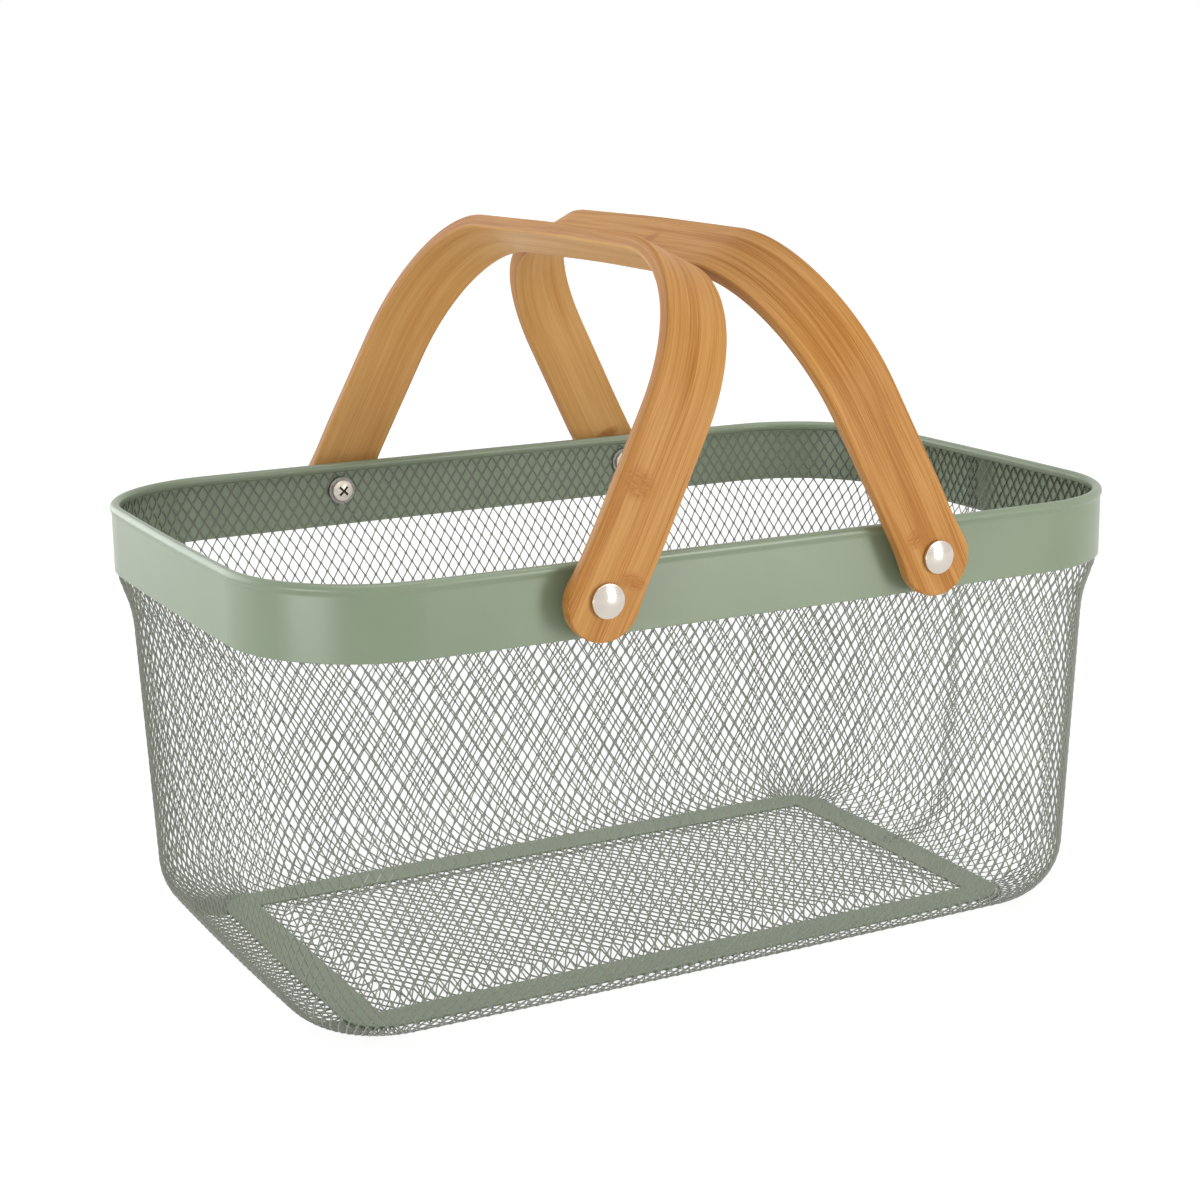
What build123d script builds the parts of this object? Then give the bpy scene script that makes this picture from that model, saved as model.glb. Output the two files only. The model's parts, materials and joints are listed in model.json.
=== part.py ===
"""Rectangular mesh carry basket with two bent bamboo bail handles.

Millimetres. X runs along the basket, Y from front to back and Z up. The origin is on the
table, under the middle of the basket. The handles are drawn leaning in over the middle,
which is how they rest when they are let go.
"""

import math
import os

from build123d import *

# Rim in plan, measured over the rolled lip
rim_length = 390.0
rim_width = 248.0
rim_height = 184.0
corner_radius = 57.0
side_bow = 2.5
end_bow = 2.5

# Rim band: smooth sheet, rolled round a wire at the top, with a round lower edge
band_height = 28.8
band_thick = 0.9
band_set = 0.6
lip_blend = 2.5
wire_radius = 1.2
wire_clearance = 0.05

# Expanded mesh of the wall, which lies inside the band, flares in under it and curves
# round to a flat foot
mesh_thick = 0.7
lay_gap = 0.05
flare_start = 1.8
flare_drop = 16.0
flare_depth = 5.3
flare_bend = 2.0
flare_radius = 50.0
draft_angle = 2.6
foot_radius = 27.5
foot_inner_radius = 7.0

# Diamond gaps in the four sides of the wall
wall_border = 4.0
wall_rows = 3
side_columns = 12
end_columns = 6
wall_strand = 3.0

# Flat strips that frame the base, inside the line where the wall turns flat
side_strip_width = 16.9
end_strip_width = 15.4
strip_thick = 0.8

# Base mesh, beside the wall's foot, with its raised middle panel and its diamond gaps
seam_gap = 0.3
panel_gap = 6.0
panel_radius = 14.0
panel_rise = 3.0
panel_slope_angle = 40.0
panel_border = 3.0
panel_columns = 15
panel_rows = 10
panel_strand = 1.4

# How far a cut runs past the piece that it opens
cut_overrun = 1.0

# Bail handles of bent laminated bamboo, and where their pivots are
pivot_x = 73.0
pivot_drop = 12.7
handle_width = 28.2
handle_thick = 6.0
handle_rise = 134.0
handle_crown = 1.5
crown_radius = 1300.0
shoulder_radius = 63.7
leg_draft_angle = 3.2
knee_height = 26.0
knee_radius = 150.0
end_flare = 0.9
end_drop = 1.0
end_blend = 100.0
edge_round = 1.2
meet_gap = 0.3

# Pivot hardware, four sets
nut_head_radius = 6.6
nut_head_edge = 1.5
nut_head_dome = 1.6
barrel_radius = 3.5
barrel_bore = 2.0
running_clearance = 0.08
hole_clearance = 0.1
spacer_radius = 6.5
spacer_thick = 5.0
side_play = 0.2
seat_gap = 0.1
washer_radius = 6.15
washer_thick = 0.8
screw_head_radius = 4.6
screw_head_edge = 1.3
screw_head_dome = 1.3
screw_length = 10.0
screw_clearance = 0.05
recess_span = 5.4
recess_width = 1.1
recess_depth = 1.6

# Places that several pieces share
lip_radius = wire_radius + wire_clearance + band_thick
band_mid = band_set + band_thick / 2
band_bottom = rim_height - band_height
wall_mid = band_set + band_thick + lay_gap + mesh_thick / 2
strip_level = mesh_thick + lay_gap
pivot_z = rim_height - pivot_drop
barrel_hole = barrel_radius + hole_clearance

os.makedirs("parts", exist_ok=True)


def keep(piece, name):
    """Label a finished piece and write it under its own name."""
    piece.part.label = name
    export_step(piece.part, f"parts/{name}.step")


def rim_point(inset, height):
    """A point of a rim section: how far in from the lip's outer line, and how high."""
    return (rim_length / 2 - inset, height)


def rim_face(inset):
    """Face in plan of all that lies further in than this from the lip's outer line."""
    with BuildSketch() as face:
        Rectangle(rim_length, rim_width)
        for side in (-1, 1):
            with Locations((side * (rim_length / 2 - end_arc), 0)):
                Circle(end_arc - inset, mode=Mode.INTERSECT)
            with Locations((0, side * (rim_width / 2 - side_arc))):
                Circle(side_arc - inset, mode=Mode.INTERSECT)
        corners = face.vertices().sort_by(lambda v: abs(v.Y))[-4:]
        fillet(corners, corner_radius - inset)
    return face.sketch


def diamond_net(columns, rows, step_x, step_y, strand):
    """Diamonds set in two interleaved grids, with strands this wide left between them."""
    share = 1 - strand * math.hypot(step_x, step_y) / (step_x * step_y)
    reach_x = step_x / 2 * share
    reach_y = step_y / 2 * share
    corners = [(reach_x, 0), (0, reach_y), (-reach_x, 0), (0, -reach_y)]
    with BuildSketch() as net:
        with GridLocations(step_x, step_y, columns, rows):
            Polygon(*corners, align=None)
        with GridLocations(step_x, step_y, columns - 1, rows - 1):
            Polygon(*corners, align=None)
    return net.sketch


# The rim's outer line in plan: four shallow arcs, joined by round corners
corner_x = rim_length / 2 - end_bow
corner_y = rim_width / 2 - side_bow
side_arc = (corner_x**2 + side_bow**2) / (2 * side_bow)
end_arc = (corner_y**2 + end_bow**2) / (2 * end_bow)
side_turn = math.degrees(math.asin(corner_x / side_arc))
end_turn = math.degrees(math.asin(corner_y / end_arc))

with BuildLine() as rim_line:
    CenterArc((rim_length / 2 - end_arc, 0), end_arc, 0, end_turn)
    CenterArc((0, rim_width / 2 - side_arc), side_arc, 90 - side_turn, 2 * side_turn)
    CenterArc((end_arc - rim_length / 2, 0), end_arc, 180 - end_turn, end_turn)
    CenterArc((end_arc - rim_length / 2, 0), end_arc, 180, end_turn)
    CenterArc((0, side_arc - rim_width / 2), side_arc, 270 - side_turn, 2 * side_turn)
    CenterArc((rim_length / 2 - end_arc, 0), end_arc, -end_turn, end_turn)
    fillet(rim_line.vertices().sort_by(lambda v: abs(v.Y))[-4:], corner_radius)

# Rim band: the lip's tube and the sheet below it are one section, carried round the rim.
# Outside, the lip runs into the sheet with a soft hollow.
lip_level = rim_height - lip_radius
hollow_top = lip_level - wire_radius
hollow_bottom = rim_height - 2 * lip_radius

with BuildPart() as rim_band:
    with BuildSketch(Plane.XZ) as band_section:
        with Locations(rim_point(lip_radius, lip_level)):
            Circle(lip_radius)
        with BuildLine():
            Line(
                rim_point(band_mid, lip_level),
                rim_point(band_mid, band_bottom + band_thick / 2),
            )
        trace(line_width=band_thick)
        joins = band_section.vertices().filter_by_position(Axis.Y, hollow_bottom, hollow_top)
        fillet(joins.sort_by(Axis.X)[-1], lip_blend)
        with Locations(rim_point(band_mid, band_bottom + band_thick / 2)):
            Circle(band_thick / 2)
        with Locations(rim_point(lip_radius, lip_level)):
            Circle(wire_radius + wire_clearance, mode=Mode.SUBTRACT)
    sweep(path=rim_line.wire())
    for end in (-1, 1):
        with Locations(Plane((end * pivot_x, 0, pivot_z), z_dir=(0, 1, 0))):
            Hole(barrel_hole)
keep(rim_band, "rim_band")

# Rim wire: round wire inside the rolled lip
with BuildPart() as rim_wire:
    with BuildSketch(Plane.XZ):
        with Locations(rim_point(lip_radius, lip_level)):
            Circle(wire_radius)
    sweep(path=rim_line.wire())
keep(rim_wire, "rim_wire")

# Wall mesh: its middle surface runs down inside the band, flares in, runs down with a
# little draft and curves round to the foot. Each side has a net of large diamond gaps.
bend_level = band_bottom - flare_start
flare_level = bend_level - flare_drop
draft = math.radians(draft_angle)
foot_corner = wall_mid + flare_depth + (flare_level - mesh_thick / 2) * math.tan(draft)
foot_flat = foot_corner + foot_radius * math.tan((math.pi / 2 - draft) / 2)
foot_end = corner_radius - foot_inner_radius

wall_net_bottom = foot_radius + wall_border
wall_net_height = flare_level - wall_border - wall_net_bottom
wall_net_level = wall_net_bottom + wall_net_height / 2
side_net_length = rim_length - 2 * (corner_radius + wall_border)
end_net_length = rim_width - 2 * (corner_radius + wall_border)

with BuildPart() as mesh_wall:
    with BuildSketch(Plane.XZ):
        with BuildLine():
            FilletPolyline(
                rim_point(wall_mid, hollow_bottom - lay_gap),
                rim_point(wall_mid, bend_level),
                rim_point(wall_mid + flare_depth, flare_level),
                rim_point(foot_corner, mesh_thick / 2),
                rim_point(foot_end, mesh_thick / 2),
                radius=(flare_bend, flare_radius, foot_radius),
            )
        trace(line_width=mesh_thick)
    sweep(path=rim_line.wire())
    for end in (-1, 1):
        with Locations(Plane((end * pivot_x, 0, pivot_z), z_dir=(0, 1, 0))):
            Hole(barrel_hole)
    for plane, columns, length in (
        (Plane.XZ, side_columns, side_net_length),
        (Plane.YZ, end_columns, end_net_length),
    ):
        with BuildSketch(plane):
            with Locations((0, wall_net_level)):
                add(diamond_net(
                    columns, wall_rows, length / columns, wall_net_height / wall_rows, wall_strand
                ))
        extrude(amount=rim_length / 2, both=True, mode=Mode.SUBTRACT)
keep(mesh_wall, "mesh_wall")

# Inner opening of the strip frame
frame_length = rim_length - 2 * (foot_flat + end_strip_width)
frame_width = rim_width - 2 * (foot_flat + side_strip_width)

# Base mesh: a flat border that ends beside the wall's foot, under the strips, then a
# sloping skirt and a raised, open panel
panel_length = frame_length - 2 * panel_gap
panel_width = frame_width - 2 * panel_gap
panel_slope = math.radians(panel_slope_angle)
panel_run = (panel_rise + mesh_thick) * math.tan(panel_slope)
skirt_wall = mesh_thick / math.cos(panel_slope) - cut_overrun * math.tan(panel_slope)
hollow_length = panel_length - 2 * skirt_wall
hollow_width = panel_width - 2 * skirt_wall
hollow_radius = panel_radius - skirt_wall
net_length = panel_length - 2 * (panel_run + panel_border)
net_width = panel_width - 2 * (panel_run + panel_border)

with BuildPart() as mesh_base:
    with BuildSketch():
        add(rim_face(foot_end + seam_gap))
    extrude(amount=mesh_thick)
    with BuildSketch():
        RectangleRounded(panel_length, panel_width, panel_radius)
    extrude(amount=panel_rise + mesh_thick, taper=panel_slope_angle)
    with BuildSketch(Plane.XY.offset(-cut_overrun)):
        RectangleRounded(hollow_length, hollow_width, hollow_radius)
    extrude(amount=panel_rise + cut_overrun, taper=panel_slope_angle, mode=Mode.SUBTRACT)
    with BuildSketch(Plane.XY.offset(panel_rise)):
        add(diamond_net(
            panel_columns, panel_rows, net_length / panel_columns, net_width / panel_rows,
            panel_strand,
        ))
    extrude(amount=mesh_thick, mode=Mode.SUBTRACT)
keep(mesh_base, "mesh_base")

# Base strips, which reach out to where the wall's foot turns flat. The long ones run the
# whole length, the end ones fit between them.
for name, side in (("base_strip_front", -1), ("base_strip_back", 1)):
    with BuildPart() as long_strip:
        with BuildSketch(Plane.XY.offset(strip_level)):
            add(rim_face(foot_flat))
            with Locations((0, side * (frame_width + rim_width) / 2)):
                Rectangle(rim_length, rim_width, mode=Mode.INTERSECT)
        extrude(amount=strip_thick)
    keep(long_strip, name)

for name, end in (("base_strip_left", -1), ("base_strip_right", 1)):
    with BuildPart() as end_strip:
        with BuildSketch(Plane.XY.offset(strip_level)):
            add(rim_face(foot_flat))
            with Locations((end * (frame_length + rim_length) / 2, 0)):
                Rectangle(rim_length, frame_width, mode=Mode.INTERSECT)
        extrude(amount=strip_thick)
    keep(end_strip, name)

# Stack of pieces at each pivot, as distances out from the middle of the basket
rim_at_pivot = rim_width / 2 - side_arc + math.sqrt(side_arc**2 - pivot_x**2)
spacer_seat = rim_at_pivot - band_set + seat_gap
leg_inside = spacer_seat + spacer_thick + side_play
leg_outside = leg_inside + handle_thick
head_seat = leg_outside + side_play
washer_seat = rim_at_pivot - wall_mid - mesh_thick / 2 - seat_gap
screw_seat = washer_seat - washer_thick

# Bail handles: a strip bent to a U in a plane through its pivots, which leans in until the
# two handles almost meet. Each leg ends in a disc a little wider than the strip.
leg_mid = (leg_inside + leg_outside) / 2
top_mid = handle_rise - handle_thick / 2
end_radius = handle_width / 2 + end_flare
end_tip = end_drop + end_radius
side_height = handle_rise + cut_overrun
leg_draft = math.radians(leg_draft_angle)
shoulder_mid = leg_mid - (top_mid - handle_crown - knee_height) * math.tan(leg_draft)
lean = math.asin((pivot_x - meet_gap / 2) / math.hypot(handle_rise, handle_width / 2))
lean = lean - math.atan2(handle_width / 2, handle_rise)
bail_radii = (
    knee_radius,
    shoulder_radius,
    crown_radius,
    shoulder_radius,
    knee_radius,
)

for name, end in (("handle_left", -1), ("handle_right", 1)):
    pivot = (end * pivot_x, 0, pivot_z)
    across = (math.cos(lean), 0, end * math.sin(lean))
    bail_plane = Plane(origin=pivot, x_dir=(0, 1, 0), z_dir=across)
    side_plane = Plane(origin=pivot, x_dir=across, z_dir=(0, -1, 0))
    with BuildPart() as bail:
        with BuildSketch(bail_plane):
            with BuildLine():
                FilletPolyline(
                    (-leg_mid, -end_tip),
                    (-leg_mid, knee_height),
                    (-shoulder_mid, top_mid - handle_crown),
                    (0, top_mid),
                    (shoulder_mid, top_mid - handle_crown),
                    (leg_mid, knee_height),
                    (leg_mid, -end_tip),
                    radius=bail_radii,
                )
            trace(line_width=handle_thick)
        extrude(amount=end_radius, both=True)
        with BuildSketch(side_plane) as side_face:
            with Locations((0, side_height / 2)):
                Rectangle(handle_width, side_height)
            with Locations((0, -end_drop)):
                Circle(end_radius)
            fillet(side_face.vertices().sort_by(Axis.Y)[-4:-2], end_blend)
        extrude(amount=leg_outside, both=True, mode=Mode.INTERSECT)
        strip_sides = bail.faces().filter_by(Axis(bail_plane.origin, bail_plane.z_dir))
        fillet(strip_sides.edges(), edge_round)
        with Locations(Plane((end * pivot_x, 0, pivot_z), z_dir=(0, 1, 0))):
            Hole(barrel_radius + running_clearance)
    keep(bail, name)


def dome_radius(half_width, rise):
    """Radius of the arc that rises this much over this half width."""
    return (half_width**2 + rise**2) / (2 * rise)


# Pivot hardware. Each piece is turned round the pivot's axis, from a profile given as
# radius and distance out from the middle of the basket.
for side_name, side in (("front", -1), ("back", 1)):
    for end_name, end in (("left", -1), ("right", 1)):
        place = f"{side_name}_{end_name}"
        turning = Axis((end * pivot_x, 0, pivot_z), (0, side, 0))
        profile_plane = Plane(
            (end * pivot_x, 0, pivot_z), x_dir=(1, 0, 0), z_dir=(0, 0, side)
        )

        # Sleeve nut: a polished domed head on a barrel with a blind threaded bore
        with BuildPart() as sleeve_nut:
            with BuildSketch(profile_plane):
                with BuildLine():
                    dome_edge = (nut_head_radius, head_seat + nut_head_edge)
                    dome_top = (0, head_seat + nut_head_edge + nut_head_dome)
                    Polyline(
                        dome_top,
                        (0, head_seat),
                        (barrel_bore, head_seat),
                        (barrel_bore, washer_seat),
                        (barrel_radius, washer_seat),
                        (barrel_radius, head_seat),
                        (nut_head_radius, head_seat),
                        dome_edge,
                    )
                    RadiusArc(dome_edge, dome_top, -dome_radius(nut_head_radius, nut_head_dome))
                make_face()
            revolve(axis=turning)
        keep(sleeve_nut, f"sleeve_nut_{place}")

        # Screw: a pan head inside the basket, a plain shank in the sleeve nut's bore
        head_top = screw_seat - screw_head_edge - screw_head_dome
        with BuildPart() as pivot_screw:
            with BuildSketch(profile_plane):
                with BuildLine():
                    dome_edge = (screw_head_radius, screw_seat - screw_head_edge)
                    Polyline(
                        (0, head_top),
                        (0, screw_seat + screw_length),
                        (barrel_bore - screw_clearance, screw_seat + screw_length),
                        (barrel_bore - screw_clearance, screw_seat),
                        (screw_head_radius, screw_seat),
                        dome_edge,
                    )
                    RadiusArc(
                        dome_edge, (0, head_top), dome_radius(screw_head_radius, screw_head_dome)
                    )
                make_face()
            revolve(axis=turning)
            face_plane = Plane(
                (end * pivot_x, side * head_top, pivot_z), x_dir=(1, 0, 0), z_dir=(0, -side, 0)
            )
            with BuildSketch(face_plane):
                for slant in (-45, 45):
                    Rectangle(recess_span, recess_width, rotation=slant)
            extrude(amount=-recess_depth, mode=Mode.SUBTRACT)
        keep(pivot_screw, f"pivot_screw_{place}")

        # Rings round the axis: the washer under the screw head, and the spacer that holds
        # the handle's leg clear of the band
        washer_plane = Plane((end * pivot_x, side * washer_seat, pivot_z), z_dir=(0, -side, 0))
        with BuildPart() as inner_washer:
            with BuildSketch(washer_plane):
                Circle(washer_radius)
                Circle(barrel_bore + hole_clearance, mode=Mode.SUBTRACT)
            extrude(amount=washer_thick)
        keep(inner_washer, f"inner_washer_{place}")

        spacer_plane = Plane((end * pivot_x, side * spacer_seat, pivot_z), z_dir=(0, side, 0))
        with BuildPart() as spacer:
            with BuildSketch(spacer_plane):
                Circle(spacer_radius)
                Circle(barrel_hole, mode=Mode.SUBTRACT)
            extrude(amount=spacer_thick)
        keep(spacer, f"spacer_{place}")
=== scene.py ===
import json
import math

import bmesh
import bpy
import numpy as np
from mathutils import Matrix, Vector


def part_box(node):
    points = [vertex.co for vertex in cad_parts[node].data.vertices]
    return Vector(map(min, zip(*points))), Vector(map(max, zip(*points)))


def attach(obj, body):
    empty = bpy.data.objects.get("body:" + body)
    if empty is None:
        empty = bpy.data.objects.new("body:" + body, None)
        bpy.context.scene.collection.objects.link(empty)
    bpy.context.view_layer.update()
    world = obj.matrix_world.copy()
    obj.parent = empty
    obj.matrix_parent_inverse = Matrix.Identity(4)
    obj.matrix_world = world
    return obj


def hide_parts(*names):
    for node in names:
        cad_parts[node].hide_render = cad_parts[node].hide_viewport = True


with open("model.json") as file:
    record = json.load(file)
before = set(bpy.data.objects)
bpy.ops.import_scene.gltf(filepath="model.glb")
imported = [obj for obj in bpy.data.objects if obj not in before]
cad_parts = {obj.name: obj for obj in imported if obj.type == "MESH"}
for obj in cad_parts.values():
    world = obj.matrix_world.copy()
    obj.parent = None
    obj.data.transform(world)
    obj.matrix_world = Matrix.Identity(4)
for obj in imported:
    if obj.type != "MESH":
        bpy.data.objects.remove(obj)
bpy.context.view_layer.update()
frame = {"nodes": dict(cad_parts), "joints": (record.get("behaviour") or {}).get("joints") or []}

# Camera. A long lens stands in front of the basket and to its left, a little above the
# rim, and looks at a point under the handles.
camera_azimuth = math.radians(-27.86)
camera_elevation = math.radians(13.23)
camera_roll = math.radians(-0.70)
camera_distance = 1.0079
camera_target = Vector((-0.00218, 0.00490, 0.13486))
focal_pixels = 2346.57
image_pixels = 1200
sensor_mm = 36.0


def direction(azimuth, elevation):
    """The unit vector towards a place at this azimuth, 0 in front, and this elevation:
    (sin a cos e, -cos a cos e, sin e)."""
    return Vector((
        math.sin(azimuth) * math.cos(elevation),
        -math.cos(azimuth) * math.cos(elevation),
        math.sin(elevation),
    ))


back = direction(camera_azimuth, camera_elevation)
level = Vector((math.cos(camera_azimuth), math.sin(camera_azimuth), 0))
upright = back.cross(level)
right = math.cos(camera_roll) * level + math.sin(camera_roll) * upright
up = math.cos(camera_roll) * upright - math.sin(camera_roll) * level

lens = bpy.data.cameras.new("camera")
lens.sensor_width = sensor_mm
lens.lens = focal_pixels / image_pixels * sensor_mm
camera = bpy.data.objects.new("camera", lens)
camera.matrix_world = Matrix.Translation(camera_target + back * camera_distance) @ Matrix(
    (right, up, back)
).transposed().to_4x4()
bpy.context.scene.collection.objects.link(camera)
bpy.context.scene.camera = camera

# Wall mesh. One sheet of expanded steel, slit and stretched into diamonds that stand
# upright. It is wrapped round the basket with a lap seam in the middle of the right end,
# lies inside the band, and curves round to a flat foot beside the base's border.
rim_low, rim_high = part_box("rim_band")
corner_radius = 0.057
side_bow = 0.0025
end_bow = 0.0025
wall_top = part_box("mesh_wall")[1].z
wall_inset = 0.0019
flare_start = 0.0018
bend_height = rim_low.z - flare_start
bend_radius = 0.002
flare_drop = 0.0160
flare_depth = 0.0053
flare_radius = 0.050
draft = math.radians(2.6)
foot_radius = 0.0275
foot_height = 0.00040
foot_end = 0.050

diamond_width = 0.00525
diamond_height = 0.00815
strand_width = 0.00060
strand_thick = 0.00036
strand_tilt = math.radians(22)
bond_length = 0.0010
widest_share = 0.9
lap = 0.0080
lap_rise = 0.0010
lap_run = 0.0150
wall_parts = 4


def bent_line(corners, radii, step=0.0001):
    """A line through the corners, rounded to the radii: distances along it, its points and
    its headings. The heading is steady on each straight and turns evenly on each arc. The
    points are the running sum of the steps (cos heading, sin heading) * step."""
    corners, radii = np.array(corners), np.array(radii)
    runs = np.diff(corners, axis=0)
    heading = np.unwrap(np.arctan2(runs[:, 1], runs[:, 0]))
    turn = np.abs(np.diff(heading))
    cut = radii * np.tan(turn / 2)
    lengths = np.zeros(2 * len(runs) - 1)
    lengths[0::2] = np.hypot(*runs.T) - np.append(0, cut) - np.append(cut, 0)
    lengths[1::2] = radii * turn
    knots = np.append(0, np.cumsum(lengths))
    distance = np.linspace(0, knots[-1], round(knots[-1] / step) + 1)
    angle = np.interp(distance, knots, np.repeat(heading, 2))
    middle = (angle[1:] + angle[:-1]) / 2
    moves = np.stack([np.cos(middle), np.sin(middle)], axis=1) * (distance[1] - distance[0])
    points = corners[0] + np.vstack([np.zeros(2), np.cumsum(moves, axis=0)])
    return distance, points, angle


# The rim in plan is eight arcs in a row, from the middle of the right end round to itself:
# a bowed end, a corner, a bowed side, a corner, and the same again
half_length, half_width = rim_high.x, rim_high.y
end_radius = ((half_width - side_bow) ** 2 + end_bow**2) / (2 * end_bow)
side_radius = ((half_length - end_bow) ** 2 + side_bow**2) / (2 * side_bow)
end_middle = np.array([half_length - end_radius, 0])
side_middle = np.array([0, half_width - side_radius])
to_side = side_middle - end_middle
middles_apart = np.hypot(*to_side)
share_along = (
    (end_radius - corner_radius) ** 2 - (side_radius - corner_radius) ** 2 + middles_apart**2
) / (2 * middles_apart**2)
off_line = math.sqrt((end_radius - corner_radius) ** 2 - (share_along * middles_apart) ** 2)
corner_middle = end_middle + share_along * to_side
corner_middle = corner_middle + off_line / middles_apart * np.array([-to_side[1], to_side[0]])
end_sweep = math.atan2(corner_middle[1] - end_middle[1], corner_middle[0] - end_middle[0])
side_sweep = math.atan2(corner_middle[0] - side_middle[0], corner_middle[1] - side_middle[1])
arc_middles = np.array([
    end_middle,
    corner_middle,
    side_middle,
    corner_middle * (-1, 1),
    end_middle * (-1, 1),
    -corner_middle,
    side_middle * (1, -1),
    corner_middle * (1, -1),
    end_middle,
])
arc_radii = np.array([end_radius, corner_radius, side_radius, corner_radius] * 2 + [end_radius])
corner_sweep = math.pi / 2 - end_sweep - side_sweep
arc_sweeps = np.array(
    [end_sweep, corner_sweep, 2 * side_sweep, corner_sweep, 2 * end_sweep]
    + [corner_sweep, 2 * side_sweep, corner_sweep, end_sweep]
)
arc_starts = np.append(0, np.cumsum(arc_sweeps))
arc_ends = np.append(0, np.cumsum((arc_radii - wall_inset) * arc_sweeps))
round_length = arc_ends[-1]


def rim_plan(around, inset):
    """Places in plan, by the distance round the wall and how far in from the rim. On each
    arc the place is middle + (radius - inset) * (cos angle, sin angle). It also gives how
    much narrower things get there: (radius - inset) / (radius - wall inset)."""
    around = np.mod(around, round_length)
    which = np.clip(np.searchsorted(arc_ends, around, side="right") - 1, 0, len(arc_radii) - 1)
    radius = arc_radii[which]
    angle = arc_starts[which] + (around - arc_ends[which]) / (radius - wall_inset)
    reach = radius - inset
    x = arc_middles[which, 0] + reach * np.cos(angle)
    y = arc_middles[which, 1] + reach * np.sin(angle)
    return x, y, reach / (radius - wall_inset)


flare_height = bend_height - flare_drop
flare_inset = wall_inset + flare_depth
foot_corner = flare_inset + (flare_height - foot_height) * math.tan(draft)
wall_distance, wall_points, wall_heading = bent_line(
    [
        (wall_inset, wall_top),
        (wall_inset, bend_height),
        (flare_inset, flare_height),
        (foot_corner, foot_height),
        (foot_end, foot_height),
    ],
    [bend_radius, flare_radius, foot_radius],
)


def eased(share):
    """A smooth step from 0 to 1: 3 s^2 - 2 s^3."""
    return share * share * (3 - 2 * share)


def lay_wall(around, down, out):
    """Places on the wall sheet: down is the distance down its bent section from the top,
    and out is along the section's normal, away from the inside. Past one full turn the
    sheet's end rides over its beginning, inside it."""
    angle = np.interp(down, wall_distance, wall_heading)
    ride = np.clip((around - round_length + lap_run) / lap_run, 0, 1)
    out = out - lap_rise * eased(ride)
    inset = np.interp(down, wall_distance, wall_points[:, 0]) + out * np.sin(angle)
    height = np.interp(down, wall_distance, wall_points[:, 1]) - out * np.cos(angle)
    x, y, squeeze = rim_plan(around, inset)
    return np.stack([x, y, height], axis=-1), squeeze


def solid_piece(name, points, faces, body):
    """A mesh piece that rides on a body. The faces are turned so that the volume inside,
    the sum of a . (b x c) / 6 over the triangles, comes out above zero."""
    points = points.reshape(-1, 3)
    a, b, c, d = (points[faces[:, i]] for i in range(4))
    volume = np.sum(a * np.cross(b, c)) + np.sum(a * np.cross(c, d))
    if volume < 0:
        faces = faces[:, ::-1]
    mesh = bpy.data.meshes.new(name)
    mesh.from_pydata(points.tolist(), [], faces.tolist())
    mesh.validate()
    piece = bpy.data.objects.new(name, mesh)
    bpy.context.scene.collection.objects.link(piece)
    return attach(piece, body)


def ring_faces(rings, loop):
    """The four-cornered faces that join closed rings of points, so many points to a ring."""
    start = (np.arange(rings - 1) * loop)[:, None]
    spot = np.arange(loop)[None]
    beside = (spot + 1) % loop
    faces = [start + spot, start + beside, start + beside + loop, start + spot + loop]
    return np.stack(faces, axis=-1).reshape(-1, 4)


def expanded_sheet(name, lay, strands, length, body):
    """A sheet of expanded steel. Each strand is a flat bar that zigzags along the sheet,
    across = (strand + 1/2) * pitch +- swing, and meets its neighbours in turn at the
    bonds. The bar is tilted like a louvre, so both halves of a bond lie in one plane. Where
    a corner squeezes the diamonds, the bar is no wider than its widest share of the pitch."""
    pitch = diamond_width / 2
    bonds = np.arange(round(length / (diamond_height / 2)) + 1)
    along = np.stack([bonds * diamond_height / 2 - bond_length / 2,
                      bonds * diamond_height / 2 + bond_length / 2], axis=1).ravel()
    along = np.clip(along, 0, length)
    side = np.where((strands[:, None] + np.repeat(bonds, 2)[None]) % 2 == 0, 1.0, -1.0)
    moves_on = np.append(True, np.diff(along) > 0)
    along, side = along[moves_on], side[:, moves_on]
    middle = ((strands + 0.5) * pitch)[:, None] + 0 * side
    squeeze = lay(middle, along[None] + 0 * side, 0 * side)[1]
    width = np.minimum(strand_width, widest_share * pitch * squeeze)
    swing = (pitch * squeeze - width * math.cos(strand_tilt)) / 2
    half_wide = width[..., None] / 2 * np.array([-1, 1, 1, -1])
    half_thick = strand_thick / 2 * np.array([-1, -1, 1, 1])
    over = (side * swing)[..., None]
    over = over + half_wide * math.cos(strand_tilt) - half_thick * math.sin(strand_tilt)
    out = (-side * width / 2 * math.sin(strand_tilt))[..., None]
    out = out + half_wide * math.sin(strand_tilt) + half_thick * math.cos(strand_tilt)
    across = middle[..., None] + over / squeeze[..., None]
    points = lay(across, along[None, :, None] + 0 * across, out)[0]

    first = (np.arange(len(strands)) * len(along) * 4)[:, None, None]
    sides = (first + ring_faces(len(along), 4)).reshape(-1, 4)
    starts = first[:, 0] + np.array([3, 2, 1, 0])
    ends = first[:, 0] + (len(along) - 1) * 4 + np.arange(4)
    return solid_piece(name, points, np.vstack([sides, starts, ends]), body)


wall_strands = np.arange(round((round_length + lap) / (diamond_width / 2)))
wall_pieces = [
    expanded_sheet(f"wall_mesh_{part}", lay_wall, strands, wall_distance[-1], "basket")
    for part, strands in enumerate(np.array_split(wall_strands, wall_parts), start=1)
]
for piece in wall_pieces:
    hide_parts("mesh_wall")

# Base mesh. The same expanded steel, its diamonds lying across the basket, pressed up in
# the middle to a flat panel with round corners. Its border lies beside the wall's foot,
# welded under the strips.
base_low, base_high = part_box("mesh_base")
border_height = 0.00040
panel_rise = 0.0030
panel_half = np.array([0.1339, 0.0614])
panel_radius = 0.014
panel_run = 0.003
border_round = 0.0067


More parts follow.
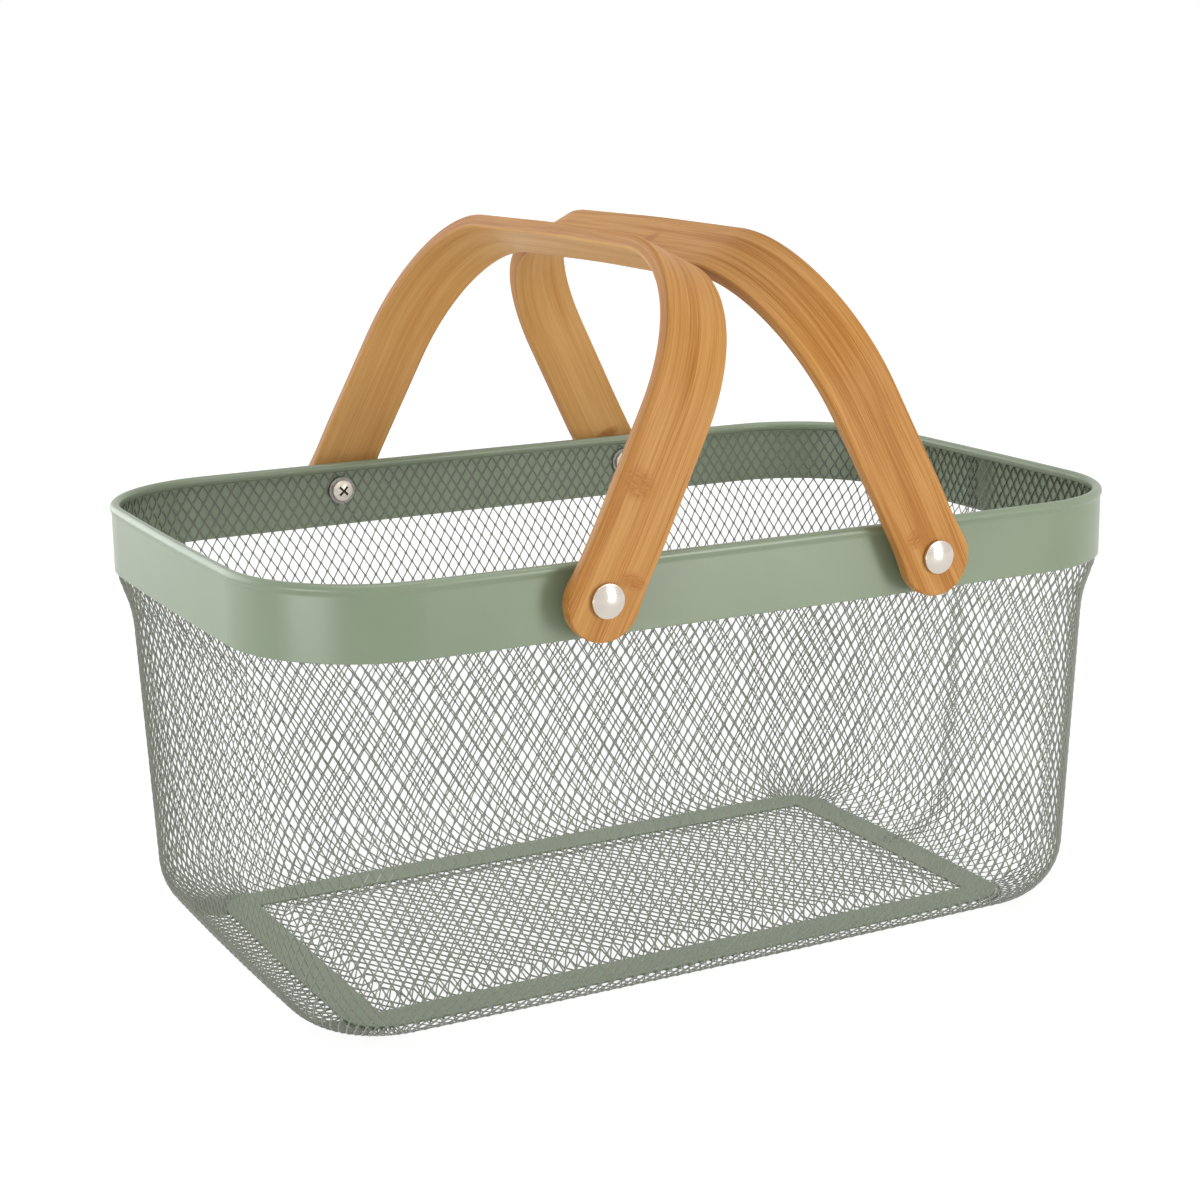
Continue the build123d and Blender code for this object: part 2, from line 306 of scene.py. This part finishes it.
def lay_base(across, along, out):
    """Places on the base sheet. Its height follows the distance inside the panel's rounded
    rectangle, eased over the width of the skirt. The outer strands are drawn in to the
    border's round corners, by r - sqrt(r^2 - (distance past the corner's start)^2)."""
    x, y = across + base_low.x, along + base_low.y
    past = np.clip(np.abs(x) - (base_high.x - border_round), 0, border_round)
    drawn_in = border_round - np.sqrt(border_round**2 - past**2)
    y = y * (1 - drawn_in / base_high.y)
    over_x = np.abs(x) - (panel_half[0] - panel_radius)
    over_y = np.abs(y) - (panel_half[1] - panel_radius)
    outside = np.hypot(np.maximum(over_x, 0), np.maximum(over_y, 0))
    inside = panel_radius - outside - np.minimum(np.maximum(over_x, over_y), 0)
    height = border_height + panel_rise * eased(np.clip(inside / panel_run, 0, 1))
    return np.stack([x, y, height + out], axis=-1), np.ones_like(x)


base_strands = np.arange(int((base_high.x - base_low.x) / (diamond_width / 2)))
base_piece = expanded_sheet(
    "base_mesh", lay_base, base_strands, base_high.y - base_low.y, "basket"
)
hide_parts("mesh_base")


def shader(name):
    """A material with a Principled shader: the material and the shader's node."""
    material = bpy.data.materials.new(name)
    material.use_nodes = True
    return material, material.node_tree.nodes["Principled BSDF"]


def add_node(material, kind, inputs, **settings):
    """Adds a shader node. A value goes into its input, and another node's output is linked
    to it. Settings are the node's own."""
    tree = material.node_tree
    node = tree.nodes.new(kind)
    for key, value in settings.items():
        setattr(node, key, value)
    for key, value in inputs.items():
        if isinstance(value, bpy.types.NodeSocket):
            tree.links.new(value, node.inputs[key])
        else:
            node.inputs[key].default_value = value
    return node


def screen_colour(red, green, blue):
    """A colour given as it looks on a screen, 0 to 255, as the linear colour of a shader."""
    shares = np.array([red, green, blue]) / 255
    linear = np.where(shares < 0.04045, shares / 12.92, ((shares + 0.055) / 1.055) ** 2.4)
    return (*linear.tolist(), 1.0)


def ramp(material, factor, stops):
    """A colour ramp through (position, colour) stops; gives its colour output."""
    node = add_node(material, "ShaderNodeValToRGB", {"Fac": factor})
    elements = node.color_ramp.elements
    while len(elements) < len(stops):
        elements.new(1.0)
    for element, (position, colour) in zip(elements, stops):
        element.position = position
        element.color = colour
    return node.outputs["Color"]


def mottled(name, first, second, scale, detail, spread=0.1):
    """A material whose colour wanders between two close shades, in noise over the object:
    the material, its shader's node, and the sockets of the place and of the shade."""
    material, finish = shader(name)
    place = add_node(material, "ShaderNodeTexCoord", {}).outputs["Object"]
    clouds = add_node(
        material, "ShaderNodeTexNoise", {"Vector": place, "Scale": scale, "Detail": detail}
    )
    stops = [(0.5 - spread, screen_colour(*first)), (0.5 + spread, screen_colour(*second))]
    shade = ramp(material, clouds.outputs["Fac"], stops)
    material.node_tree.links.new(shade, finish.inputs["Base Color"])
    return material, finish, place, shade


def powder_coat(name, faint, full, bump_height):
    """Satin powder coat: two close shades in soft clouds, and the fine orange peel that
    the powder leaves as it melts."""
    material, coat, place = mottled(name, faint, full, 30.0, 3.0, spread=0.15)[:3]
    peel = add_node(
        material, "ShaderNodeTexNoise", {"Vector": place, "Scale": 900.0, "Detail": 2.0}
    )
    bump = add_node(
        material,
        "ShaderNodeBump",
        {"Height": peel.outputs["Fac"], "Distance": bump_height, "Strength": 0.5},
    )
    material.node_tree.links.new(bump.outputs["Normal"], coat.inputs["Normal"])
    coat.inputs["Roughness"].default_value = 0.32
    coat.inputs["Specular IOR Level"].default_value = 0.6
    return material


def dress(piece, material):
    """Gives a piece, or a CAD node, one material all over."""
    piece.data.materials.clear()
    piece.data.materials.append(material)


# The strands' coat is greyer and darker than the band's, though both are one paint: partly
# painted shade for the strands' shaded sides
strand_coat_and_painted_shade = powder_coat("strand_coat_and_painted_shade", (123, 128, 115), (129, 134, 121), 0.00002)
for piece in [*wall_pieces, base_piece]:
    dress(piece, strand_coat_and_painted_shade)

# Base strips and rim band. Flat steel strips frame the base, butted at the corners, and
# a smooth band of sheet is rolled round a wire at the rim. They are powder coated in the
# same sage green as the mesh.
sheet_coat = powder_coat("sheet_coat", (128, 142, 116), (131, 145, 119), 0.00003)
for name in ("rim_band", "base_strip_front", "base_strip_back", "base_strip_left",
             "base_strip_right"):
    dress(frame["nodes"][name], sheet_coat)

wire_steel, steel = mottled("wire_steel", (150, 148, 145), (180, 178, 175), 400.0, 2.0)[:2]
steel.inputs["Metallic"].default_value = 1.0
steel.inputs["Roughness"].default_value = 0.35
dress(frame["nodes"]["rim_wire"], wire_steel)

# Bail handles. A strip of laminated bamboo, bent hot to a U, with round ends and broken
# edges. It leans in over the middle from its pivots. The skin side is orange tan with
# long fine fibres and dark knots, and the inner side is paler.
handle_half_width = 0.0141
handle_thick = 0.006
handle_rise = 0.134
handle_crown = 0.0015
crown_radius = 1.3
shoulder_radius = 0.0637
leg_draft = math.radians(3.2)
knee_height = 0.026
knee_radius = 0.150
disc_radius = 0.0150
disc_drop = 0.0010
neck_radius = 0.100
edge_round = 0.0012
meet_gap = 0.0003

# The strip has rings of points round it, close together at the tips. On a ring, edge_steps
# are the distances in from the outline of the points on the broken edge, and the middle is
# steps_to_middle in. The points on the flat are evenly spaced
tip_rings = 21
leg_rings = 240
edge_steps = np.array([0, 0.06, 0.24, 0.52, 0.85, 1.2, 2.4])
steps_to_middle = 14
flat_share = 0.7
flat_points = 9
weld_reach = 0.0000001
right_shift = 1.0
pivots = {joint["child"]: Vector(joint["pos_m"]) for joint in frame["joints"]}

leg_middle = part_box("handle_left")[1].y - handle_thick / 2
leg_tip = disc_drop + disc_radius
top_middle = handle_rise - handle_thick / 2
shoulder_middle = leg_middle - (top_middle - handle_crown - knee_height) * math.tan(leg_draft)
strip_distance, strip_points, strip_heading = bent_line(
    [
        (-leg_middle, -leg_tip),
        (-leg_middle, knee_height),
        (-shoulder_middle, top_middle - handle_crown),
        (0, top_middle),
        (shoulder_middle, top_middle - handle_crown),
        (leg_middle, knee_height),
        (leg_middle, -leg_tip),
    ],
    [knee_radius, shoulder_radius, crown_radius, shoulder_radius, knee_radius],
)
strip_length = strip_distance[-1]
pivot_x = abs(pivots["handle_left"].x)
lean = math.asin((pivot_x - meet_gap / 2) / math.hypot(handle_rise, handle_half_width))
lean = lean - math.atan2(handle_half_width, handle_rise)

# Each leg ends in a disc. Two arcs, hollow to the outside, lead the strip's straight edges
# into it: their middles lie this far up from the disc's own, and touch it at this angle.
neck_middle = math.sqrt(
    (disc_radius + neck_radius) ** 2 - (handle_half_width + neck_radius) ** 2
)
neck_angle = math.asin(neck_middle / (disc_radius + neck_radius))


def close_and_smooth(piece):
    """Makes one point of those that fall together where a ring shrinks to nothing, and
    shades the piece smooth."""
    joined = bmesh.new()
    joined.from_mesh(piece.data)
    bmesh.ops.remove_doubles(joined, verts=joined.verts, dist=weld_reach)
    joined.to_mesh(piece.data)
    joined.free()
    piece.data.polygons.foreach_set("use_smooth", np.ones(len(piece.data.polygons), bool))


def bail(name, end):
    """A bent strip. Round the outline its half thickness follows the broken edge,
    h = t/2 - r + sqrt(r^2 - (r - d)^2), where d is the distance in from the outline. Near
    a tip the outline's half width at the height v over the disc's middle is
    sqrt(R^2 - v^2), and along the neck it is w + n - sqrt(n^2 - (neck middle - v)^2). Each
    point also keeps its place on the strip: along it, across it and through it."""
    turns = np.linspace(0, math.pi / 2 + neck_angle, tip_rings)
    tip = disc_radius * (1 - np.cos(turns))
    between = np.linspace(tip[-1], strip_length - tip[-1], leg_rings)
    along = np.concatenate([tip[:-1], between, (strip_length - tip[:-1])[::-1]])
    over = np.minimum(along, strip_length - along) - disc_radius
    on_disc = over <= disc_radius * math.sin(neck_angle)
    disc_reach = np.sqrt(np.maximum(disc_radius**2 - over**2, 0))
    up_neck = np.maximum(neck_middle - over, 0)
    neck_reach = handle_half_width + neck_radius
    neck_reach = neck_reach - np.sqrt(np.maximum(neck_radius**2 - up_neck**2, 0))
    reach = np.where(on_disc, disc_reach, neck_reach)
    edges = 1 - edge_steps / steps_to_middle
    flat = np.linspace(-flat_share, flat_share, flat_points)
    shares = np.concatenate([-edges, flat, edges[::-1]])
    across = reach[:, None] * np.append(shares, shares[::-1])
    inward = np.where(
        on_disc[:, None],
        disc_radius - np.hypot(over[:, None], across),
        reach[:, None] - np.abs(across),
    )
    short = np.clip(edge_round - inward, 0, edge_round)
    half_thick = handle_thick / 2 - edge_round + np.sqrt(edge_round**2 - short**2)
    side = np.repeat([1.0, -1.0], len(shares))
    depth = half_thick * side

    angle = np.interp(along, strip_distance, strip_heading)[:, None]
    y = np.interp(along, strip_distance, strip_points[:, 0])[:, None] - depth * np.sin(angle)
    v = np.interp(along, strip_distance, strip_points[:, 1])[:, None] + depth * np.cos(angle)
    pivot = pivots[name]
    x = pivot.x + end * (across * math.cos(lean)) - end * v * math.sin(lean)
    z = pivot.z + v * math.cos(lean) + across * math.sin(lean)
    points = np.stack([x, y + 0 * across, z], axis=-1)

    piece = solid_piece(name + "_bamboo", points, ring_faces(*across.shape), name)
    shift = right_shift if end > 0 else 0.0
    place = np.stack([along[:, None] + shift + 0 * across, across, depth], axis=-1)
    attribute = piece.data.attributes.new("strip_place", "FLOAT_VECTOR", "POINT")
    attribute.data.foreach_set("vector", place.astype(np.float32).ravel())
    close_and_smooth(piece)
    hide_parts(name)
    return piece


bails = [bail("handle_left", -1), bail("handle_right", 1)]

bamboo, lacquer = shader("bamboo")
strip_place = add_node(bamboo, "ShaderNodeAttribute", {}, attribute_name="strip_place")
strip_place = strip_place.outputs["Vector"]


def stretched_noise(scale, detail):
    """Noise over the strip, stretched by its own scale along, across and through it."""
    grain = add_node(bamboo, "ShaderNodeMapping", {"Vector": strip_place, "Scale": scale})
    return add_node(
        bamboo,
        "ShaderNodeTexNoise",
        {"Vector": grain.outputs["Vector"], "Scale": 1.0, "Detail": detail, "Roughness": 0.6},
    ).outputs["Fac"]


def blend(factor, first, second):
    """The colour factor of the way from the first colour to the second."""
    return add_node(
        bamboo, "ShaderNodeMixRGB", {"Fac": factor, "Color1": first, "Color2": second}
    ).outputs["Color"]


fibres = stretched_noise((26.0, 2300.0, 1500.0), 3.0)
streaks = stretched_noise((7.0, 190.0, 190.0), 2.0)
grain = add_node(
    bamboo, "ShaderNodeMath", {0: fibres, 1: streaks}, operation="ADD"
).outputs["Value"]
grain = add_node(
    bamboo, "ShaderNodeMath", {0: grain, 1: 0.5}, operation="MULTIPLY"
).outputs["Value"]
skin = ramp(
    bamboo,
    grain,
    [
        (0.40, screen_colour(169, 111, 50)),
        (0.50, screen_colour(190, 134, 71)),
        (0.60, screen_colour(203, 151, 88)),
    ],
)
pith = ramp(
    bamboo,
    grain,
    [(0.38, screen_colour(200, 145, 80)), (0.62, screen_colour(220, 171, 108))],
)
knot_grain = stretched_noise((1700.0, 300.0, 300.0), 4.0)
knot_colour = ramp(
    bamboo,
    knot_grain,
    [(0.38, screen_colour(160, 98, 45)), (0.62, screen_colour(190, 130, 66))],
)

# Each knot's place along and across its strip, and its half length and half width. Places
# along the right handle start at right_shift, so that the two handles' grains differ
knot_places = (
    (0.059, 0.006, 0.0075, 0.009),
    (0.026, -0.007, 0.004, 0.007),
    (right_shift + 0.028, -0.006, 0.005, 0.005),
    (right_shift + 0.230, -0.004, 0.005, 0.009),
    (right_shift + strip_length - 0.029, 0.0, 0.004, 0.010),
)
knots = 0.0
for along, across, half_along, half_across in knot_places:
    from_knot = add_node(
        bamboo,
        "ShaderNodeVectorMath",
        {0: strip_place, 1: (along, across, 0)},
        operation="SUBTRACT",
    )
    from_knot = add_node(
        bamboo,
        "ShaderNodeVectorMath",
        {0: from_knot.outputs["Vector"], 1: (1 / half_along, 1 / half_across, 0)},
        operation="MULTIPLY",
    )
    from_knot = add_node(
        bamboo, "ShaderNodeVectorMath", {0: from_knot.outputs["Vector"]}, operation="LENGTH"
    )
    near_knot = add_node(
        bamboo,
        "ShaderNodeMapRange",
        {"Value": from_knot.outputs["Value"], "From Min": 0.4, "From Max": 1.0,
         "To Min": 0.75, "To Max": 0.0},
        interpolation_type="SMOOTHSTEP",
    )
    knots = add_node(
        bamboo, "ShaderNodeMath", {0: near_knot.outputs["Result"], 1: knots}, operation="MAXIMUM"
    ).outputs["Value"]

# Through the strip, from the middle: the pith's shade gives way to the skin's between these
# depths, close to the inner face. The broken edges and the glue line are darker
pith_depth = -0.0028
skin_depth = -0.0018
depth = add_node(bamboo, "ShaderNodeSeparateXYZ", {"Vector": strip_place}).outputs["Z"]
outer = add_node(
    bamboo,
    "ShaderNodeMapRange",
    {"Value": depth, "From Min": pith_depth, "From Max": skin_depth,
     "To Min": 0.0, "To Max": 1.0},
)
tint = blend(outer.outputs["Result"], pith, skin)
tint = blend(knots, tint, knot_colour)
from_glue = add_node(bamboo, "ShaderNodeMath", {0: depth}, operation="ABSOLUTE")
from_glue = add_node(
    bamboo,
    "ShaderNodeMath",
    {0: from_glue.outputs["Value"], 1: 2 / handle_thick},
    operation="MULTIPLY",
)
edge_shade = ramp(
    bamboo,
    from_glue.outputs["Value"],
    [
        (0.04, (0.6, 0.6, 0.6, 1)),
        (0.10, (0.0, 0.0, 0.0, 1)),
        (0.16, (0.35, 0.35, 0.35, 1)),
        (0.60, (0.35, 0.35, 0.35, 1)),
        (0.90, (0.0, 0.0, 0.0, 1)),
    ],
)
tint = blend(edge_shade, tint, screen_colour(150, 98, 50))
bamboo.node_tree.links.new(tint, lacquer.inputs["Base Color"])
lacquer.inputs["Roughness"].default_value = 0.45
lacquer.inputs["Specular IOR Level"].default_value = 0.15
for piece in bails:
    dress(piece, bamboo)

# Pivot hardware. At each pivot a sleeve nut with a polished domed head takes a cross
# recess screw from inside the rim, with a plain washer under the screw's head, and a
# dark ring holds the handle's leg clear of the band.
polished, bright = mottled("polished_plate", (206, 198, 187), (212, 204, 193), 90.0, 1.0)[:2]
bright.inputs["Metallic"].default_value = 1.0
bright.inputs["Roughness"].default_value = 0.18

# The washers' plate is darker than plain zinc: painted shade, standing in for the shadow in the
# gap round each screw's head
washer_shaded, zinc = mottled("dull_plate", (122, 120, 114), (142, 140, 134), 800.0, 3.0)[:2]
zinc.inputs["Metallic"].default_value = 1.0
zinc.inputs["Roughness"].default_value = 0.4

screw_plate, nickel, place, plated = mottled(
    "screw_plate", (222, 213, 200), (234, 227, 215), 700.0, 2.0
)

# The cross recess is painted dark inside, as painted shade for the shadow that falls in it:
# it is all that lies well below the head's face, near the axis. Both are measured from the
# middle of that face, and each darkens over a short way
dark_from, dark_by = 0.0005, 0.0009
recess_reach, recess_end = 0.0030, 0.0032
face_middle = (pivot_x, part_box("pivot_screw_back_left")[0].y, pivots["handle_left"].z)
mirrored = add_node(screw_plate, "ShaderNodeVectorMath", {0: place}, operation="ABSOLUTE")
from_face = add_node(
    screw_plate,
    "ShaderNodeVectorMath",
    {0: mirrored.outputs["Vector"], 1: face_middle},
    operation="SUBTRACT",
).outputs["Vector"]
below_face = add_node(screw_plate, "ShaderNodeSeparateXYZ", {"Vector": from_face}).outputs["Y"]
sunk = add_node(
    screw_plate,
    "ShaderNodeMapRange",
    {"Value": below_face, "From Min": dark_from, "From Max": dark_by,
     "To Min": 0.0, "To Max": 1.0},
)
flattened = add_node(
    screw_plate, "ShaderNodeVectorMath", {0: from_face, 1: (1, 0, 1)}, operation="MULTIPLY"
)
off_axis = add_node(
    screw_plate, "ShaderNodeVectorMath", {0: flattened.outputs["Vector"]}, operation="LENGTH"
)
central = add_node(
    screw_plate,
    "ShaderNodeMapRange",
    {"Value": off_axis.outputs["Value"], "From Min": recess_reach, "From Max": recess_end,
     "To Min": 1.0, "To Max": 0.0},
)
recess_painted_shade = add_node(
    screw_plate,
    "ShaderNodeMath",
    {0: sunk.outputs["Result"], 1: central.outputs["Result"]},
    operation="MULTIPLY",
)
# Painted shade: inside the recess the plate's colour gives way to this dark brown
tint = add_node(
    screw_plate,
    "ShaderNodeMixRGB",
    {"Fac": recess_painted_shade.outputs["Value"], "Color1": plated, "Color2": screen_colour(66, 58, 48)},
).outputs["Color"]
screw_plate.node_tree.links.new(tint, nickel.inputs["Base Color"])
nickel.inputs["Metallic"].default_value = 0.8
nickel.inputs["Roughness"].default_value = 0.38

ring_plastic, plastic = mottled("ring_plastic", (38, 38, 38), (52, 52, 52), 500.0, 2.0)[:2]
plastic.inputs["Roughness"].default_value = 0.6

head_radius = 0.0066
head_dome = 0.0016
head_edge = 0.0015
head_round = 0.0003
barrel_radius = 0.0035
bore_radius = 0.0020
nut_sides = 96
dome_rings = 18
round_rings = 6
crease_angle = math.radians(40)


def turned_nut(side, end):
    """A sleeve nut turned about its pivot's axis. The dome is a ball's cap, so its depth at
    the radius r is s - sqrt(s^2 - r^2) with s = (R^2 + h^2) / 2h, and a small quarter round
    leads it into the head's side."""
    name = f"sleeve_nut_{side}_{end}"
    low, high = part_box(name)
    start, stop = (low.y, high.y) if side == "front" else (high.y, low.y)
    length = abs(stop - start)
    ball = (head_radius**2 + head_dome**2) / (2 * head_dome)
    cap = np.linspace(0, head_radius - head_round, dome_rings)
    cap_depth = ball - np.sqrt(ball**2 - cap**2)
    quarter = np.linspace(0, math.pi / 2, round_rings)[1:]
    rim = head_radius - head_round + head_round * np.sin(quarter)
    rim_depth = cap_depth[-1] + head_round * (1 - np.cos(quarter))
    head_back = head_dome + head_edge
    radii = [head_radius, barrel_radius, barrel_radius, bore_radius, bore_radius, 0]
    depths = [head_back, head_back, length, length, head_back, head_back]
    radius = np.concatenate([cap, rim, radii])[:, None]
    depth = np.concatenate([cap_depth, rim_depth, depths])[:, None]
    turn = np.arange(nut_sides)[None] * 2 * math.pi / nut_sides
    pivot = pivots[f"handle_{end}"]
    points = np.stack(
        [
            pivot.x + radius * np.cos(turn),
            start + math.copysign(1, stop - start) * depth + 0 * turn,
            pivot.z + radius * np.sin(turn),
        ],
        axis=-1,
    )
    faces = ring_faces(len(radius), nut_sides)
    piece = solid_piece(name + "_turned", points, faces, "basket")
    close_and_smooth(piece)
    piece.data.set_sharp_from_angle(angle=crease_angle)
    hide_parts(name)
    dress(piece, polished)


finishes = {"pivot_screw": screw_plate, "inner_washer": washer_shaded, "spacer": ring_plastic}
for side in ("front", "back"):
    for end in ("left", "right"):
        turned_nut(side, end)
        for kind, finish in finishes.items():
            dress(frame["nodes"][f"{kind}_{side}_{end}"], finish)

# Studio. A white floor and a white surround, and four lamps: a tall strip to the front
# right, a small strip low on the left, a broad panel behind to the left, and another above.
floor_reach = 4.0
floor_white_share = 0.9
shadow_share = 0.2
near_distance, near_glow = 0.5, 1.12
far_distance, far_glow = 1.6, 1.3
surround_strength = 0.27
floor_mesh = bpy.data.meshes.new("floor")
floor_mesh.from_pydata(
    [
        (-floor_reach, -floor_reach, 0),
        (floor_reach, -floor_reach, 0),
        (floor_reach, floor_reach, 0),
        (-floor_reach, floor_reach, 0),
    ],
    [],
    [(0, 1, 2, 3)],
)
floor = bpy.data.objects.new("floor", floor_mesh)
bpy.context.scene.collection.objects.link(floor)
floor_white, matt = shader("floor_white")
matt.inputs["Base Color"].default_value = (*[floor_white_share] * 3, 1)
matt.inputs["Roughness"].default_value = 0.9


def clear_rays(owner):
    """The share, 0 or 1, of rays that come from the camera, a reflection or clear stuff."""
    rays = add_node(owner, "ShaderNodeLightPath", {})
    either = add_node(
        owner,
        "ShaderNodeMath",
        {0: rays.outputs["Is Camera Ray"], 1: rays.outputs["Is Glossy Ray"]},
        operation="MAXIMUM",
    )
    return add_node(
        owner,
        "ShaderNodeMath",
        {0: either.outputs["Value"], 1: rays.outputs["Is Transmission Ray"]},
        operation="MAXIMUM",
    ).outputs["Value"]


any_clear = clear_rays(floor_white)
floor_place = add_node(floor_white, "ShaderNodeTexCoord", {}).outputs["Object"]
floor_distance = add_node(
    floor_white, "ShaderNodeVectorMath", {0: floor_place}, operation="LENGTH"
)
floor_glow = add_node(
    floor_white,
    "ShaderNodeMapRange",
    {"Value": floor_distance.outputs["Value"], "From Min": near_distance,
     "From Max": far_distance, "To Min": near_glow, "To Max": far_glow},
)
glow = add_node(
    floor_white,
    "ShaderNodeEmission",
    {"Color": (1, 1, 1, 1), "Strength": floor_glow.outputs["Result"]},
)
seen = add_node(
    floor_white,
    "ShaderNodeMixShader",
    {0: shadow_share, 1: glow.outputs["Emission"], 2: matt.outputs["BSDF"]},
)
shown = add_node(
    floor_white,
    "ShaderNodeMixShader",
    {0: any_clear, 1: matt.outputs["BSDF"], 2: seen.outputs["Shader"]},
)
floor_white.node_tree.links.new(
    shown.outputs["Shader"], floor_white.node_tree.nodes["Material Output"].inputs["Surface"]
)
dress(floor, floor_white)

world = bpy.data.worlds.new("surround")
world.use_nodes = True
bpy.context.scene.world = world
surround = world.node_tree.nodes["Background"]
any_clear = clear_rays(world)
white = add_node(world, "ShaderNodeBackground", {"Color": (1, 1, 1, 1), "Strength": 1.0})
surround.inputs["Color"].default_value = (1, 1, 1, 1)
surround.inputs["Strength"].default_value = surround_strength
pick = add_node(
    world,
    "ShaderNodeMixShader",
    {0: any_clear, 1: surround.outputs["Background"], 2: white.outputs["Background"]},
)
world.node_tree.links.new(
    pick.outputs["Shader"], world.node_tree.nodes["World Output"].inputs["Surface"]
)


def soft_light(name, azimuth, elevation, distance, width, height, colour, power):
    """A rectangular lamp that faces the basket, from a direction in degrees that is given
    as the camera's is. Lengths are in metres and the power is in watts."""
    lamp = bpy.data.lights.new(name, "AREA")
    lamp.shape = "RECTANGLE"
    lamp.size, lamp.size_y, lamp.energy, lamp.color = width, height, power, colour
    away = direction(math.radians(azimuth), math.radians(elevation))
    holder = bpy.data.objects.new(name, lamp)
    holder.matrix_world = Matrix.Translation(
        camera_target + away * distance
    ) @ away.to_track_quat("Z", "Y").to_matrix().to_4x4()
    holder.visible_camera = False
    bpy.context.scene.collection.objects.link(holder)


soft_light("front_right_strip", 24, 9, 0.95, 0.26, 0.52, (1.0, 0.99, 0.97), 3.3)
soft_light("left_strip", -66, -2, 0.9, 0.45, 0.2, (1.0, 1.0, 1.0), 1.8)
soft_light("back_left_panel", -142, 14, 1.4, 1.5, 1.0, (0.95, 0.98, 1.0), 11)
soft_light("top_panel", 0, 80, 1.6, 2.0, 1.4, (1.0, 1.0, 1.0), 15)

bpy.context.scene.view_settings.view_transform = "Standard"
